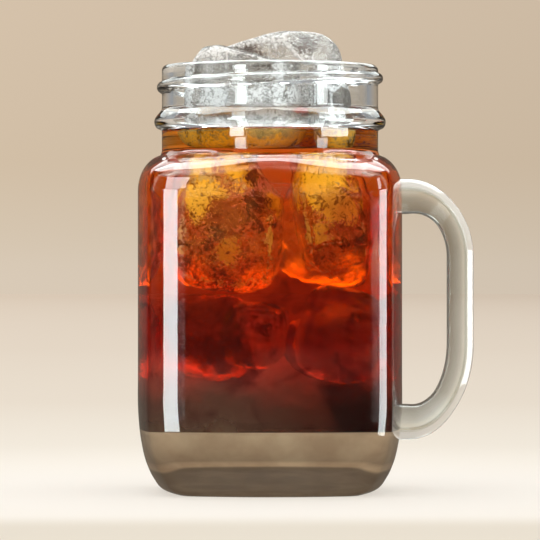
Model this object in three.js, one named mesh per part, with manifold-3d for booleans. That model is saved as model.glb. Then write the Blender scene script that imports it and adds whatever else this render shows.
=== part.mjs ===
// A handled glass drinking jar, filled with iced black coffee.
// Millimetres, +Z up. The origin is the middle of the base, on the surface that the jar stands on,
// and the handle points along +X. The jar's body is a square with bowed sides and round corners,
// and its neck is round, with a screw thread and a bead under it, like a preserving jar.
import * as THREE from "three";
import { mergeVertices } from "three/addons/utils/BufferGeometryUtils.js";
import Module from "manifold-3d";

const wasm = await Module();
wasm.setup();

// Driving dimensions of the glass
const BODY_HALF = 39.65; // from the axis to the middle of a flat side
const SIDE_BOW = 128; // radius of a side's slow curve, seen from above
const CORNER = 8; // radius of the body's corners, seen from above
const WALL = 3;
const RIM_Z = 128;
const NECK_R = 32.5;
const NECK_WALL = 3.2;
const SHOULDER_Z = 90; // where the straight side ends
const SHOULDER_IN = 8; // the shoulder is a quarter of an ellipse, this wide
const SHOULDER_UP = 11; // and this high
const NECK_Z = 102.6; // where the neck begins, above a small fillet
const SQUARE_FADE = 7.5; // height over which the square turns round, under the neck
const FLOOR_Z = 9.5; // top of the glass base, inside
const FLOOR_HALF = 24;
const INNER_HEEL_Z = 22;

// Half width and height of points up the heel, from the foot to where the side is straight
const HEEL = [
  [29.6, 0],
  [31.2, 0.5],
  [32.7, 1.3],
  [33.8, 2.4],
  [34.7, 3.8],
  [35.7, 5.5],
  [36.6, 7.5],
  [37.5, 10],
  [38.3, 13.4],
  [39.1, 18.4],
  [39.65, 26],
];

// The bead under the thread
const BEAD_Z = 110.9;
const BEAD_OUT = 2.3;
const BEAD_BELOW = 2.4;
const BEAD_ABOVE = 3.4;

// The screw thread, one turn with ends that fade out
const THREAD_OUT = 1.5;
const THREAD_HEIGHT = 3.4;
const THREAD_PITCH = 5.5;
const THREAD_LEFT_Z = 121.3; // its height where it passes -X
const THREAD_START = -230; // degrees round from +X, on the way up
const THREAD_END = 70;
const THREAD_FADE = 34;

// The handle, a loop whose upper and lower arms join the wall
const HANDLE_TOP_Z = 88.6;
const HANDLE_LOW_Z = 20.9;
const HANDLE_ROOT_X = 38; // inside the wall, where the arms end
const HANDLE_BEND_X = 42;
const HANDLE_GRIP_X = 57.2;
const HANDLE_GRIP_TOP_Z = 70.6;
const HANDLE_GRIP_LOW_Z = 44.5;
const HANDLE_THICK = 7.7;
const HANDLE_WIDE = 13;
const HANDLE_ROOT_THICK = 10.4;
const HANDLE_ROOT_WIDE = 16;
// Its section, from the loop's inside (-1) to its outside (1) and across its width: the outer edges
// are bevelled
const HANDLE_SECTION = [
  [1, -0.7],
  [0.97, -0.785],
  [0.46, -1],
  [-0.7, -1],
  [-0.93, -0.9],
  [-1, -0.72],
  [-1, 0.72],
  [-0.93, 0.9],
  [-0.7, 1],
  [0.46, 1],
  [0.97, 0.785],
  [1, 0.7],
];

// The drink
const DRINK_Z = 108.2; // its level, just under the bead
const SETTLED_Z = 19.3; // top of the pale layer that has settled
const GAP = 0.3; // left between pieces that touch

// Facets
const COLUMNS = 44; // round the jar
const CORNER_CROWD = 0.35; // how much closer the columns stand at the body's corners
const HANDLE_STEPS = 28;
const THREAD_STEPS = 40;
const ICE_CUTS = 6;

const RAD = Math.PI / 180;

// Points along an arc of an ellipse in the profile's plane, angles in degrees
function arc(r, z, halfWidth, halfHeight, from, to, steps) {
  const points = [];
  for (let i = 0; i <= steps; i++) {
    const angle = (from + ((to - from) * i) / steps) * RAD;
    points.push([r + halfWidth * Math.cos(angle), z + halfHeight * Math.sin(angle)]);
  }
  return points;
}

// Points along a cubic curve between two profile points
function bend(a, b, c, d, steps) {
  const curve = new THREE.CubicBezierCurve(...[a, b, c, d].map((p) => new THREE.Vector2(...p)));
  return curve.getPoints(steps).map((p) => [p.x, p.y]);
}

function smooth(value, low, high) {
  const t = Math.min(1, Math.max(0, (value - low) / (high - low)));
  return t * t * (3 - 2 * t);
}

// How square the jar is at a height: 0 is round, as the neck is, and 1 is the outline of the side
function squareness(z, neckZ) {
  return (0.8 + 0.2 * smooth(z, 0, 20)) * (1 - smooth(z, neckZ - SQUARE_FADE, neckZ));
}

// Distance from the axis to a square with bowed sides and round corners whose half width is 1
function squareReach(angle) {
  const bow = SIDE_BOW / BODY_HALF;
  const corner = CORNER / BODY_HALF;
  const turn = Math.abs((angle + 8.25 * Math.PI) % (Math.PI / 2) - Math.PI / 4);
  const reach = (across, radius) => Math.sqrt(radius ** 2 - across ** 2);
  const side = 1 - bow;
  // the corner's centre lies on the diagonal, and its circle touches the bowed side from inside
  const middle = (side + Math.sqrt(side ** 2 - 2 * (side ** 2 - (bow - corner) ** 2))) / 2;
  const touch = Math.atan2((bow * middle) / (bow - corner), side + (bow * (middle - side)) / (bow - corner));
  if (turn <= touch) {
    return side * Math.cos(turn) + reach(side * Math.sin(turn), bow);
  }
  const off = Math.PI / 4 - turn;
  return Math.SQRT2 * middle * Math.cos(off) + reach(Math.SQRT2 * middle * Math.sin(off), corner);
}

// The outside, from under the base up to the rim
function outsideProfile() {
  const shoulderR = BODY_HALF - SHOULDER_IN;
  const neckTurn = Math.acos((NECK_R + 0.6 - shoulderR) / SHOULDER_IN) / RAD;
  const rimR = NECK_WALL / 2;
  return [
    [0, 0],
    ...HEEL,
    ...arc(shoulderR, SHOULDER_Z, SHOULDER_IN, SHOULDER_UP, 0, neckTurn, 7),
    [NECK_R, NECK_Z],
    [NECK_R, BEAD_Z - BEAD_BELOW],
    [NECK_R + BEAD_OUT * 0.55, BEAD_Z - BEAD_BELOW * 0.9],
    [NECK_R + BEAD_OUT * 0.9, BEAD_Z - BEAD_BELOW * 0.5],
    [NECK_R + BEAD_OUT, BEAD_Z],
    [NECK_R + BEAD_OUT * 0.86, BEAD_Z + BEAD_ABOVE * 0.28],
    [NECK_R, BEAD_Z + BEAD_ABOVE],
    ...arc(NECK_R - rimR, RIM_Z - rimR, rimR, rimR, 0, 90, 3),
  ];
}

// The inside, from the rim down to the floor
function insideProfile() {
  const innerHalf = BODY_HALF - WALL;
  const neckR = NECK_R - NECK_WALL;
  const rimR = NECK_WALL / 2;
  const shoulderIn = 7.5;
  const shoulderUp = 10.5;
  const shoulderZ = SHOULDER_Z - 2.5;
  const shoulderR = innerHalf - shoulderIn;
  const neckTurn = Math.acos((neckR + 0.6 - shoulderR) / shoulderIn) / RAD;
  return [
    ...arc(neckR + rimR, RIM_Z - rimR, rimR, rimR, 120, 180, 2),
    [neckR, NECK_Z - 2],
    ...arc(shoulderR, shoulderZ, shoulderIn, shoulderUp, neckTurn, 0, 6),
    ...bend([innerHalf, INNER_HEEL_Z], [innerHalf, 14], [32, FLOOR_Z], [FLOOR_HALF, FLOOR_Z], 6),
    [0, FLOOR_Z],
  ];
}

// A turned body whose outline at each height is between a circle and the rounded square
function turned(profile, squareOf) {
  const points = profile.map(([r, z]) => new THREE.Vector2(r, z));
  const geometry = new THREE.LatheGeometry(points, COLUMNS).rotateX(Math.PI / 2);
  const position = geometry.getAttribute("position");
  for (let i = 0; i < position.count; i++) {
    const along = i % points.length;
    const column = Math.floor(i / points.length) % COLUMNS;
    const even = (2 * Math.PI * column) / COLUMNS;
    const angle = even + (CORNER_CROWD * Math.sin(4 * even)) / 4;
    const r = points[along].x * (1 + squareOf(along) * (squareReach(angle) - 1));
    position.setXYZ(i, r * Math.cos(angle), r * Math.sin(angle), points[along].y);
  }
  return geometry;
}

// A closed tube through rings of points, each ring as long as the first
function skinned(rings) {
  const sides = rings[0].length;
  const corners = rings.flat();
  const faces = [];
  for (let i = 0; i + 1 < rings.length; i++) {
    for (let j = 0; j < sides; j++) {
      const a = i * sides + j;
      const b = i * sides + ((j + 1) % sides);
      faces.push(a, b, b + sides, a, b + sides, a + sides);
    }
  }
  const last = corners.length - sides;
  for (let j = 1; j + 1 < sides; j++) {
    faces.push(0, j + 1, j, last, last + j, last + j + 1);
  }
  const geometry = new THREE.BufferGeometry().setFromPoints(corners);
  geometry.setIndex(faces);
  return geometry;
}

function solidOf(geometry) {
  const bare = geometry.clone();
  bare.deleteAttribute("normal");
  bare.deleteAttribute("uv");
  const merged = mergeVertices(bare, 1e-4);
  const mesh = new wasm.Mesh({
    numProp: 3,
    vertProperties: merged.getAttribute("position").array,
    triVerts: new Uint32Array(merged.index.array),
  });
  const solid = new wasm.Manifold(mesh);
  if (solid.volume() > 0) {
    return solid;
  }
  for (let i = 0; i < mesh.triVerts.length; i += 3) {
    [mesh.triVerts[i], mesh.triVerts[i + 1]] = [mesh.triVerts[i + 1], mesh.triVerts[i]];
  }
  return new wasm.Manifold(mesh);
}

function geometryOf(solid) {
  const mesh = solid.getMesh();
  const geometry = new THREE.BufferGeometry();
  geometry.setAttribute("position", new THREE.BufferAttribute(mesh.vertProperties, 3));
  geometry.setIndex(new THREE.BufferAttribute(mesh.triVerts, 1));
  return geometry;
}

// The glass: one pressed piece, with its thread and its handle
function jarBody() {
  const outside = outsideProfile();
  const inside = insideProfile();
  const squares = [
    ...outside.map(([, z]) => squareness(z, NECK_Z)),
    ...inside.map(([, z]) => squareness(z, NECK_Z - 2)),
  ];
  return solidOf(turned([...outside, ...inside], (along) => squares[along]));
}

// The thread's ridge, which climbs half a pitch for each half turn
function thread() {
  const section = [
    [-1, -0.58],
    [0.35, -0.42],
    [0.85, -0.2],
    [1, 0],
    [0.85, 0.2],
    [0.35, 0.42],
    [-1, 0.58],
  ];
  const rings = [];
  for (let i = 0; i <= THREAD_STEPS; i++) {
    const turn = THREAD_START + ((THREAD_END - THREAD_START) * i) / THREAD_STEPS;
    const fade = smooth(turn, THREAD_START, THREAD_START + THREAD_FADE);
    const full = fade * smooth(-turn, -THREAD_END, THREAD_FADE - THREAD_END);
    const height = THREAD_HEIGHT * (0.35 + 0.65 * full);
    const middle = THREAD_LEFT_Z + (THREAD_PITCH * (turn + 180)) / 360;
    rings.push(
      section.map(([out, up]) => {
        const r = NECK_R + (out < 0 ? out : out * THREAD_OUT * full - 0.4 * (1 - full));
        const angle = turn * RAD;
        return new THREE.Vector3(r * Math.cos(angle), r * Math.sin(angle), middle + up * height);
      }),
    );
  }
  return solidOf(skinned(rings));
}

// The middle line of the handle, from the upper arm's root to the lower arm's
function handleLine() {
  const line = new THREE.CurvePath();
  const at = (x, z) => new THREE.Vector3(x, 0, z);
  const reach = HANDLE_GRIP_X - HANDLE_BEND_X;
  const quarter = 0.5523; // the handle length of a cubic curve that draws a quarter ellipse
  const corner = (z, gripZ, down) => {
    const arm = at(HANDLE_BEND_X, z);
    const grip = at(HANDLE_GRIP_X, gripZ);
    const armSide = at(HANDLE_BEND_X + reach * quarter, z);
    const gripSide = at(HANDLE_GRIP_X, gripZ + (z - gripZ) * quarter);
    return down
      ? new THREE.CubicBezierCurve3(arm, armSide, gripSide, grip)
      : new THREE.CubicBezierCurve3(grip, gripSide, armSide, arm);
  };
  line.add(new THREE.LineCurve3(at(HANDLE_ROOT_X, HANDLE_TOP_Z), at(HANDLE_BEND_X, HANDLE_TOP_Z)));
  line.add(corner(HANDLE_TOP_Z, HANDLE_GRIP_TOP_Z, true));
  line.add(new THREE.LineCurve3(at(HANDLE_GRIP_X, HANDLE_GRIP_TOP_Z), at(HANDLE_GRIP_X, HANDLE_GRIP_LOW_Z)));
  line.add(corner(HANDLE_LOW_Z, HANDLE_GRIP_LOW_Z, false));
  line.add(new THREE.LineCurve3(at(HANDLE_BEND_X, HANDLE_LOW_Z), at(HANDLE_ROOT_X, HANDLE_LOW_Z)));
  return line;
}

function handle() {
  const line = handleLine();
  const rings = [];
  for (let i = 0; i <= HANDLE_STEPS; i++) {
    const t = i / HANDLE_STEPS;
    const middle = line.getPointAt(t);
    const ahead = line.getTangentAt(t);
    const out = new THREE.Vector3(ahead.z, 0, -ahead.x).negate();
    const root = 1 - smooth(Math.min(t, 1 - t), 0.02, 0.2);
    const thick = HANDLE_THICK + (HANDLE_ROOT_THICK - HANDLE_THICK) * root;
    const wide = HANDLE_WIDE + (HANDLE_ROOT_WIDE - HANDLE_WIDE) * root;
    const ring = [];
  for (const [across, along] of HANDLE_SECTION) {
      const point = middle.clone().addScaledVector(out, (thick * across) / 2);
      point.y += (wide * along) / 2;
      ring.push(point);
    }
    rings.push(ring);
  }
  return solidOf(skinned(rings));
}

// The part of the inside between two heights, drawn in by the gap, as a turned solid
function filling(lowZ, highZ) {
  const middleZ = (SHOULDER_Z + INNER_HEEL_Z) / 2;
  const inner = insideProfile()
    .reverse()
    .map(([r, z]) => [Math.max(0, r - GAP), z + (z < middleZ ? GAP : -GAP)]);
  const widthAt = (z) => {
    const next = inner.findIndex((p) => p[1] > z);
    const [r0, z0] = inner[next - 1];
    const [r1, z1] = inner[next];
    return r0 + ((r1 - r0) * (z - z0)) / (z1 - z0);
  };
  const low = lowZ > inner[0][1] ? [[0, lowZ], [widthAt(lowZ), lowZ]] : [inner[0]];
  const wall = inner.filter(([r, z]) => r > 0 && z > lowZ + 0.1 && z < highZ - 0.1);
  const profile = [...low, ...wall, [widthAt(highZ), highZ], [0, highZ]];
  return solidOf(turned(profile, (along) => squareness(profile[along][1], NECK_Z - 2)));
}

// A melting ice cube: a box with soft edges, a slow swell over its faces and facets melted off it
function iceSolid({ size, at, turn, round, facets, swell }, grow = 0) {
  const geometry = new THREE.BoxGeometry(2, 2, 2, ICE_CUTS, ICE_CUTS, ICE_CUTS);
  const position = geometry.getAttribute("position");
  for (let i = 0; i < position.count; i++) {
    const p = new THREE.Vector3().fromBufferAttribute(position, i);
    const norm = (Math.abs(p.x) ** round + Math.abs(p.y) ** round + Math.abs(p.z) ** round) ** (1 / round);
    p.divideScalar(norm);
    const side = p.clone().normalize();
    const wave = Math.sin(3 * side.x + swell) * Math.cos(4 * side.y - swell) * Math.sin(2 * side.z + 1);
    p.multiplyScalar(1 + 0.03 * wave).multiply(new THREE.Vector3(...size.map((s) => s / 2)));
    for (const [x, y, z, reach] of facets) {
      const out = new THREE.Vector3(x, y, z).normalize();
      p.addScaledVector(out, -0.92 * Math.max(0, p.dot(out) - reach));
    }
    p.addScaledVector(side, grow);
    position.setXYZ(i, p.x, p.y, p.z);
  }
  geometry.rotateX(turn[0] * RAD).rotateY(turn[1] * RAD).rotateZ(turn[2] * RAD).translate(...at);
  return solidOf(geometry);
}

// The ice that breaks the surface and stands in the neck
const ICE = {
  ice_main: {
    size: [40, 19.4, 32.2],
    at: [2, 8.6, 122.7],
    turn: [0, 0, -20],
    round: 3.6,
    facets: [[-0.3105, 0, 0.9506, 14.6], [0.5, -0.62, 0.6, 15.6]],
    swell: 0.4,
  },
  ice_left: {
    size: [33.5, 19, 33],
    at: [-7.6, -9.6, 117.6],
    turn: [0, 0, -20],
    round: 4,
    facets: [[0.266, 0, 0.964, 13.4], [-0.8, -0.1, 0.6, 18.4]],
    swell: 1.9,
  },
  ice_front: {
    size: [10.4, 11, 23],
    at: [17.2, -14.2, 112.3],
    turn: [0, 0, -40],
    round: 3.4,
    facets: [[0.5, -0.4, 0.7, 9.5]],
    swell: 3.1,
  },
  ice_back: {
    size: [24, 7.6, 22],
    at: [7.9, 21.8, 112.4],
    turn: [0, 0, -20],
    round: 4,
    facets: [[-0.6, 0.4, 0.7, 11.5]],
    swell: 5.2,
  },
};

const glass = new THREE.MeshStandardMaterial({ color: 0xe9eeea, roughness: 0.03, metalness: 0 });
glass.transparent = true;
glass.opacity = 0.35;
const coffeeFinish = new THREE.MeshStandardMaterial({ color: 0x8a2f10, roughness: 0.08, metalness: 0 });
const settledFinish = new THREE.MeshStandardMaterial({ color: 0x9c8266, roughness: 0.35, metalness: 0 });
const iceFinish = new THREE.MeshStandardMaterial({ color: 0xe6eaec, roughness: 0.12, metalness: 0 });

const part = new THREE.Group();

function add(name, solid, material) {
  const mesh = new THREE.Mesh(geometryOf(solid), material);
  mesh.name = name;
  part.add(mesh);
}

const ices = Object.entries(ICE).map(([name, block]) => [name, iceSolid(block)]);
const holes = Object.values(ICE).map((block) => iceSolid(block, GAP * 1.4));

add("jar_mug", jarBody().add(thread()).add(handle()), glass);
add("coffee", holes.reduce((drink, hole) => drink.subtract(hole), filling(SETTLED_Z + GAP, DRINK_Z)), coffeeFinish);
add("settled_layer", filling(0, SETTLED_Z), settledFinish);
for (const [name, solid] of ices) {
  add(name, solid, iceFinish);
}

export default part;
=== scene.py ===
import math

import bmesh
import bpy
from mathutils import Matrix, Vector, noise


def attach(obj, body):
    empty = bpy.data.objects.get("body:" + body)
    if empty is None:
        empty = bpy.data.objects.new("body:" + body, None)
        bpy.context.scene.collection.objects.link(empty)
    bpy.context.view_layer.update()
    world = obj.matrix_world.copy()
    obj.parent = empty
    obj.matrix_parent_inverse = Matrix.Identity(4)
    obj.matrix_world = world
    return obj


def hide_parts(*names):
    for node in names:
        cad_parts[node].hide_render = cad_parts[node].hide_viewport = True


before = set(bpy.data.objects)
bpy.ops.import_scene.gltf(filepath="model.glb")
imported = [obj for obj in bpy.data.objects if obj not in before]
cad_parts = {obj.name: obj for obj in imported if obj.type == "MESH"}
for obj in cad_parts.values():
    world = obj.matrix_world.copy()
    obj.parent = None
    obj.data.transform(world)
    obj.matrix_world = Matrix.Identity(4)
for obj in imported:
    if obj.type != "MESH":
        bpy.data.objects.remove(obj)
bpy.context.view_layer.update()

# The view: the jar is seen level with its middle, from far enough away that its sides look parallel.
# The picture is square, 162 mm of it across at the jar's axis, and the jar stands left of its middle.
MM = 0.001
VIEW_DISTANCE = 1.1
VIEW_HEIGHT = 66.5 * MM
VIEW_WIDTH = 162.4 * MM
SENSOR = 36.0

scene = bpy.context.scene
camera_data = bpy.data.cameras.new("camera")
camera_data.sensor_width = SENSOR
camera_data.lens = SENSOR * VIEW_DISTANCE / VIEW_WIDTH
camera_data.clip_start = 0.05
camera_data.clip_end = 30.0
camera = bpy.data.objects.new("camera", camera_data)
camera.location = (0.0, -VIEW_DISTANCE, VIEW_HEIGHT)
camera.rotation_euler = (math.radians(90.0), 0.0, 0.0)
scene.collection.objects.link(camera)
scene.camera = camera
scene.view_settings.view_transform = "Standard"
# light goes through the glass, the coffee and each cube of ice twice, so it needs many bounces
BOUNCES = 32
scene.cycles.max_bounces = BOUNCES
scene.cycles.transmission_bounces = BOUNCES

# The studio: a wide pale floor with painted light, brightest round the jar and painted darker as it
# runs out to a warm grey distance, and a room that is bright overhead. Tall soft lights stand to the
# left and right of the camera and behind the jar.
FLOOR_RADIUS = 9.0
FLOOR_SIDES = 96
LAMP_COLOUR = (0.93, 1.0, 0.99)
SIDE_GREY = (0.4, 0.405, 0.41, 1.0)


def tone(red, green, blue):
    """A colour as read off a screen, 0 to 255, in the linear values that shaders take."""
    linear = []
    for value in (red, green, blue):
        share = value / 255.0
        linear.append(share / 12.92 if share <= 0.04045 else ((share + 0.055) / 1.055) ** 2.4)
    return (*linear, 1.0)


def node_tree(name, holder=None):
    """A fresh node tree, of a new material or of the world, with a helper that adds and links nodes."""
    block = holder or bpy.data.materials.new(name)
    block.use_nodes = True
    tree = block.node_tree
    tree.nodes.clear()

    def add(kind, values=(), **settings):
        node = tree.nodes.new(kind)
        for key, value in settings.items():
            setattr(node, key, value)
        for socket, value in dict(values).items():
            if isinstance(value, bpy.types.NodeSocket):
                tree.links.new(value, node.inputs[socket])
            else:
                node.inputs[socket].default_value = value
        return node

    return block, add


def ramp(add, value, stops):
    """A colour that goes from stop to stop as the value rises, each stop a place and a colour."""
    node = add("ShaderNodeValToRGB", {"Fac": value})
    band = node.color_ramp
    while len(band.elements) < len(stops):
        band.elements.new(0.5)
    for element, (place, colour) in zip(band.elements, stops):
        element.position = place
        element.color = colour if hasattr(colour, "__len__") else (colour, colour, colour, 1.0)
    return node.outputs["Color"]


world = bpy.data.worlds.new("studio")
scene.world = world
_, add = node_tree("studio", world)
direction = add("ShaderNodeTexCoord").outputs["Generated"]
across = add("ShaderNodeSeparateXYZ", {"Vector": direction})
height = add(
    "ShaderNodeMapRange", {"Value": across.outputs["Z"], "From Min": -0.2, "From Max": 1.0}
).outputs["Result"]
sky = ramp(
    add,
    height,
    [
        (0.0, tone(218, 204, 186)),
        (0.1667, tone(214, 199, 180)),
        (0.1735, tone(211, 195, 174)),
        (0.19, tone(207, 188, 164)),
        (0.228, tone(210, 191, 168)),
        (0.42, tone(214, 196, 174)),
        (0.62, (1.1, 1.08, 1.05, 1.0)),
        (1.0, (1.55, 1.54, 1.52, 1.0)),
    ],
)
shade = add(
    "ShaderNodeMapRange",
    {
        "Value": across.outputs["X"],
        "From Min": -0.075,
        "From Max": 0.075,
        "To Min": 1.03,
        "To Max": 0.95,
    },
).outputs["Result"]
# Straight through the glass the backdrop shows, while to its sides and overhead the room is grey,
# which draws the edges of the glass and the cracks of the ice.
rays = add("ShaderNodeLightPath")
off_middle = add("ShaderNodeMath", {0: across.outputs["X"]}, operation="ABSOLUTE").outputs["Value"]
sides = ramp(
    add,
    off_middle,
    [(0.0, 0.0), (0.3, 0.0), (0.62, 1.0), (0.95, 1.0), (0.985, 0.1), (1.0, 0.0)],
)
upward = add(
    "ShaderNodeMapRange", {"Value": across.outputs["Z"], "From Min": 0.16, "From Max": 0.5}
).outputs["Result"]
aside = add("ShaderNodeMath", {0: sides, 1: upward}, operation="MAXIMUM").outputs["Value"]
direct = add(
    "ShaderNodeMath",
    {0: rays.outputs["Is Camera Ray"], 1: rays.outputs["Is Diffuse Ray"]},
    operation="MAXIMUM",
).outputs["Value"]
bent = add("ShaderNodeMath", {0: aside, 1: direct}, operation="SUBTRACT", use_clamp=True)
sky = add(
    "ShaderNodeMixRGB",
    {"Fac": bent.outputs["Value"], "Color1": sky, "Color2": SIDE_GREY},
).outputs["Color"]
# what the glass mirrors of the room is nearly dark, so that it shows little but the soft lights
mirrored = add(
    "ShaderNodeMath",
    {0: rays.outputs["Is Reflection Ray"], 1: rays.outputs["Is Diffuse Ray"]},
    operation="SUBTRACT",
    use_clamp=True,
).outputs["Value"]
behind = add(
    "ShaderNodeMapRange",
    {
        "Value": across.outputs["Y"],
        "From Min": 0.7,
        "From Max": 1.0,
        "To Min": 1.0,
        "To Max": 0.84,
    },
).outputs["Result"]
mirrored = add("ShaderNodeMath", {0: mirrored, 1: behind}, operation="MULTIPLY").outputs["Value"]
room = add(
    "ShaderNodeMapRange", {"Value": mirrored, "To Min": 1.0, "To Max": 0.08}
).outputs["Result"]
strength = add("ShaderNodeMath", {0: shade, 1: room}, operation="MULTIPLY").outputs["Value"]
background = add("ShaderNodeBackground", {"Color": sky, "Strength": strength})
add("ShaderNodeOutputWorld", {"Surface": background.outputs["Background"]})

pale_floor, add = node_tree("pale_floor")
place = add("ShaderNodeTexCoord").outputs["Object"]
reach = add("ShaderNodeVectorMath", {0: place}, operation="LENGTH").outputs["Value"]
spread = add(
    "ShaderNodeMapRange", {"Value": reach, "From Min": 0.0, "From Max": 8.0}
).outputs["Result"]
# painted light: the floor's colour is brightest in a pool round the jar and darker far out
floor_painted_light = ramp(
    add,
    spread,
    [
        (0.0, tone(245, 240, 232)),
        (0.012, tone(244, 239, 231)),
        (0.022, tone(240, 234, 224)),
        (0.037, tone(231, 224, 212)),
        (0.093, tone(222, 212, 198)),
        (0.25, tone(216, 204, 189)),
        (1.0, tone(204, 189, 172)),
    ],
)
# painted light: far out, the floor is painted a little brighter to the left, as the backdrop is
sideways = add("ShaderNodeSeparateXYZ", {"Vector": place}).outputs["X"]
slant = add(
    "ShaderNodeMapRange",
    {"Value": sideways, "From Min": -0.7, "From Max": 0.7, "To Min": 1.05, "To Max": 0.95},
).outputs["Result"]
floor_painted_light = add(
    "ShaderNodeMixRGB",
    {"Fac": 1.0, "Color1": floor_painted_light, "Color2": slant},
    blend_type="MULTIPLY",
).outputs["Color"]
# painted shade: a darker band is painted across the front of the floor
front = add("ShaderNodeSeparateXYZ", {"Vector": place}).outputs["Y"]
near = add(
    "ShaderNodeMapRange",
    {"Value": front, "From Min": -0.16, "From Max": -0.105},
    interpolation_type="SMOOTHSTEP",
).outputs["Result"]
floor_painted_light = add(
    "ShaderNodeMixRGB",
    {"Fac": near, "Color1": tone(224, 216, 202), "Color2": floor_painted_light},
).outputs["Color"]
paint = add("ShaderNodeBsdfDiffuse", {"Color": floor_painted_light, "Roughness": 0.0}).outputs["BSDF"]
# the floor glows a little as well, which keeps the jar's shadow faint
glow = add("ShaderNodeEmission", {"Color": floor_painted_light, "Strength": 1.08}).outputs["Emission"]
lit = add("ShaderNodeMixShader", {"Fac": 0.55, 1: paint, 2: glow}).outputs["Shader"]
add("ShaderNodeOutputMaterial", {"Surface": lit})

shape = bmesh.new()
bmesh.ops.create_circle(shape, cap_ends=True, segments=FLOOR_SIDES, radius=FLOOR_RADIUS)
floor_mesh = bpy.data.meshes.new("floor")
shape.to_mesh(floor_mesh)
shape.free()
floor_mesh.materials.append(pale_floor)
floor = bpy.data.objects.new("floor", floor_mesh)
scene.collection.objects.link(floor)
floor.visible_glossy = False


def soft_light(name, azimuth, distance, wide, low, high, radiance):
    """An upright panel of light that faces the jar, azimuth from the camera's side, plus to the right."""
    lamp = bpy.data.lights.new(name, "AREA")
    lamp.shape = "RECTANGLE"
    lamp.size = wide
    lamp.size_y = high - low
    lamp.energy = radiance * math.pi * wide * (high - low)
    lamp.color = LAMP_COLOUR
    angle = math.radians(azimuth)
    panel = bpy.data.objects.new(name, lamp)
    panel.location = (distance * math.sin(angle), -distance * math.cos(angle), (low + high) / 2)
    panel.rotation_euler = (math.radians(90.0), 0.0, angle)
    panel.visible_camera = False
    panel.visible_diffuse = False
    scene.collection.objects.link(panel)
    return panel


# The two panels at the front end below the floor, which mirrored light doesn't see, so that their
# white strips run down into the curve of the jar's heel.
soft_light("left_panel", -34.2, 0.46, 0.121, -0.092, 0.107, 17.0)
soft_light("left_panel_top", -30.3, 0.46, 0.094, 0.113, 0.33, 12.0)
soft_light("right_panel", 71.5, 0.5, 0.31, -0.13, 0.107, 13.0)
soft_light("right_panel_top", 55.5, 0.5, 0.105, 0.116, 0.33, 10.0)
soft_light("back_left_panel", -152.0, 0.9, 0.6, 0.36, 0.95, 2.2)
soft_light("back_right_panel", 152.0, 0.9, 0.6, 0.36, 0.95, 2.2)
overhead = soft_light("overhead", 0.0, 0.1, 1.1, 0.0, 0.64, 9.5)
overhead.location = (0.0, 0.2, 0.62)
overhead.rotation_euler = (0.0, 0.0, 0.0)
# light from the camera's side that reaches the frosted ice and the cloudy drink through the glass
front_glow = soft_light("front_glow", 0.0, 1.3, 1.8, 0.2, 1.3, 4.6)
front_glow.visible_glossy = False

# The jar is one piece of pressed clear glass: a square body with bowed sides and round corners, a
# round neck with a screw thread and a bead, and a handle pressed on its right side.
BODY_HALF = 39.65
SIDE_BOW = 128.0 / BODY_HALF
CORNER = 8.0 / BODY_HALF
SHOULDER_Z = 90.0
NECK_Z = 102.6
INNER_NECK_Z = NECK_Z - 2.0
SQUARE_FADE = 7.5
NECK_R = 32.5
NECK_WALL = 3.2
RIM_Z = 128.0
RIM_ROUND = 1.6
WALL = 3.0
FLOOR_Z = 9.5
# the jar is turned in this many columns, which crowd towards the body's corners
COLUMNS = 192
CROWDING = 0.45
# the body's outline is a little rounder at the foot and fully square from this height up
FOOT_ROUND = 0.2
FULL_SQUARE_Z = 20.0
# the profile of the outside from the foot up to the straight side, radius and height
HEEL = [
    (29.6, 0.0),
    (31.2, 0.5),
    (32.7, 1.3),
    (33.8, 2.4),
    (34.7, 3.8),
    (35.7, 5.5),
    (36.6, 7.5),
    (37.5, 10.0),
    (38.3, 13.4),
    (39.1, 18.4),
    (39.65, 26.0),
]


def eased(value, low, high):
    """Goes smoothly from 0 to 1 as the value goes from low to high."""
    share = min(1.0, max(0.0, (value - low) / (high - low)))
    return share * share * (3.0 - 2.0 * share)


def square_reach(angle):
    """Distance from the axis to the outline of the body, where the half width is 1."""
    side = 1.0 - SIDE_BOW
    root = math.sqrt(side**2 - 2.0 * (side**2 - (SIDE_BOW - CORNER) ** 2))
    middle = (side + root) / 2.0
    aside = abs((angle + 8.25 * math.pi) % (math.pi / 2.0) - math.pi / 4.0)
    run = SIDE_BOW / (SIDE_BOW - CORNER)
    touch = math.atan2(run * middle, side + run * (middle - side))
    if aside <= touch:
        return side * math.cos(aside) + math.sqrt(SIDE_BOW**2 - (side * math.sin(aside)) ** 2)
    off = math.pi / 4.0 - aside
    across = math.sqrt(2.0) * middle * math.sin(off)
    return math.sqrt(2.0) * middle * math.cos(off) + math.sqrt(CORNER**2 - across**2)


def squared(verts, neck_z=NECK_Z):
    """Moves turned points out to the body's outline, which fades to a circle at the neck."""
    for vert in verts:
        radius = math.hypot(vert.co.x, vert.co.y)
        if radius < 1e-9:
            continue
        z = vert.co.z / MM
        even = math.atan2(vert.co.y, vert.co.x)
        angle = even + CROWDING * math.sin(4.0 * even) / 4.0
        foot = (1.0 - FOOT_ROUND) + FOOT_ROUND * eased(z, 0.0, FULL_SQUARE_Z)
        square = foot * (1.0 - eased(z, neck_z - SQUARE_FADE, neck_z))
        radius *= 1.0 + square * (square_reach(angle) - 1.0)
        vert.co.x = radius * math.cos(angle)
        vert.co.y = radius * math.sin(angle)


def ellipse(r, z, wide, high, start, end, steps):
    """Points of a profile along an arc of an ellipse, angles in degrees."""
    points = []
    for step in range(steps + 1):
        angle = math.radians(start + (end - start) * step / steps)
        points.append((r + wide * math.cos(angle), z + high * math.sin(angle)))
    return points


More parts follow.
